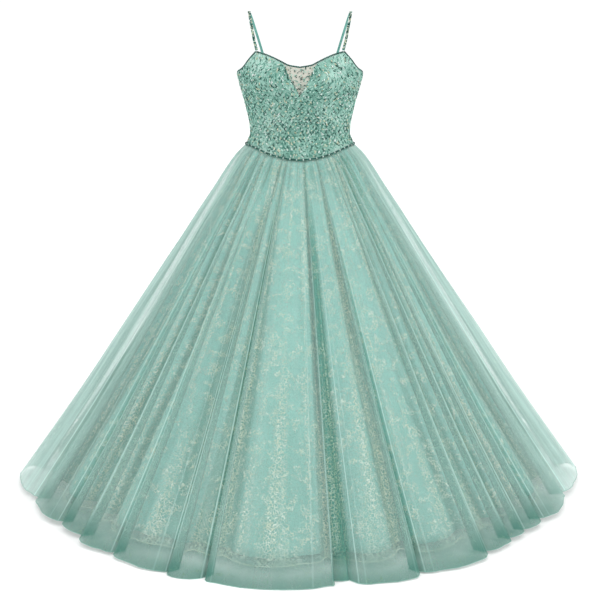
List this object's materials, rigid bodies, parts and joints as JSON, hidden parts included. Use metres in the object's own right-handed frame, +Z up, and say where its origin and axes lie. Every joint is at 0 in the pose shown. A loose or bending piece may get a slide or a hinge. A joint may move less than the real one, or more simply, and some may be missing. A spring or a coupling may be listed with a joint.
{
  "type": "ball gown",
  "caption": "Floor-length ball gown: beaded bodice on thin straps, gathered tulle over metallic lace and satin skirt, centre back zip with a hinged pull tab.",
  "frame": {"origin": "midway between the undersides of the two straps at the top of the shoulders, where the wearer holds the gown up", "axes": "+Z up, -Y towards the front, +X towards the wearer's left"},
  "size_m": [1.5819, 1.6152, 1.2936],
  "materials": {
    "beaded_bodice": "mint fabric covered with small glass beads",
    "nude_mesh": "nude illusion mesh with a few beads",
    "bead_piping": "cord covered with dark green and clear beads",
    "mint_satin": "soft sheen polyester satin",
    "gold_lace": "net with metallic cream and gold thread",
    "pale_tulle": "sheer nylon tulle",
    "zip_nylon": "dyed nylon coil",
    "zip_metal": "polished nickel"
  },
  "bodies": {
    "gown": {"bodice_center_front": "beaded_bodice", "bodice_side_front_left": "beaded_bodice", "bodice_side_front_right": "beaded_bodice", "bodice_back_left": "beaded_bodice", "bodice_back_right": "beaded_bodice", "illusion_panel": "nude_mesh", "neckline_piping": "bead_piping", "armhole_piping_left": "bead_piping", "armhole_piping_right": "bead_piping", "back_neck_piping_left": "bead_piping", "back_neck_piping_right": "bead_piping", "waist_piping_front": "bead_piping", "waist_piping_back_left": "bead_piping", "waist_piping_back_right": "bead_piping", "strap_front_left": "bead_piping", "strap_front_right": "bead_piping", "strap_back_left": "mint_satin", "strap_back_right": "mint_satin", "zip_chain": "zip_nylon", "zip_slider": "zip_metal", "satin_gore_1": "mint_satin", "satin_gore_2": "mint_satin", "satin_gore_3": "mint_satin", "satin_gore_4": "mint_satin", "satin_gore_5": "mint_satin", "satin_gore_6": "mint_satin", "satin_gore_7": "mint_satin", "satin_gore_8": "mint_satin", "lace_panel_1": "gold_lace", "lace_panel_2": "gold_lace", "lace_panel_3": "gold_lace", "lace_panel_4": "gold_lace", "lace_panel_5": "gold_lace", "lace_panel_6": "gold_lace", "lace_panel_7": "gold_lace", "lace_panel_8": "gold_lace", "tulle_panel_1": "pale_tulle", "tulle_panel_2": "pale_tulle", "tulle_panel_3": "pale_tulle", "tulle_panel_4": "pale_tulle", "tulle_panel_5": "pale_tulle", "tulle_panel_6": "pale_tulle", "tulle_panel_7": "pale_tulle", "tulle_panel_8": "pale_tulle"},
    "pull_tab": {"zip_pull_tab": "zip_metal"}
  },
  "joints": [
    {"name": "pull_tab_swing", "type": "hinge", "parent": "gown", "child": "pull_tab", "pos_m": [0, 0.1067, -0.196], "axis": [1, 0, 0], "range_deg": [0, 150]}
  ]
}
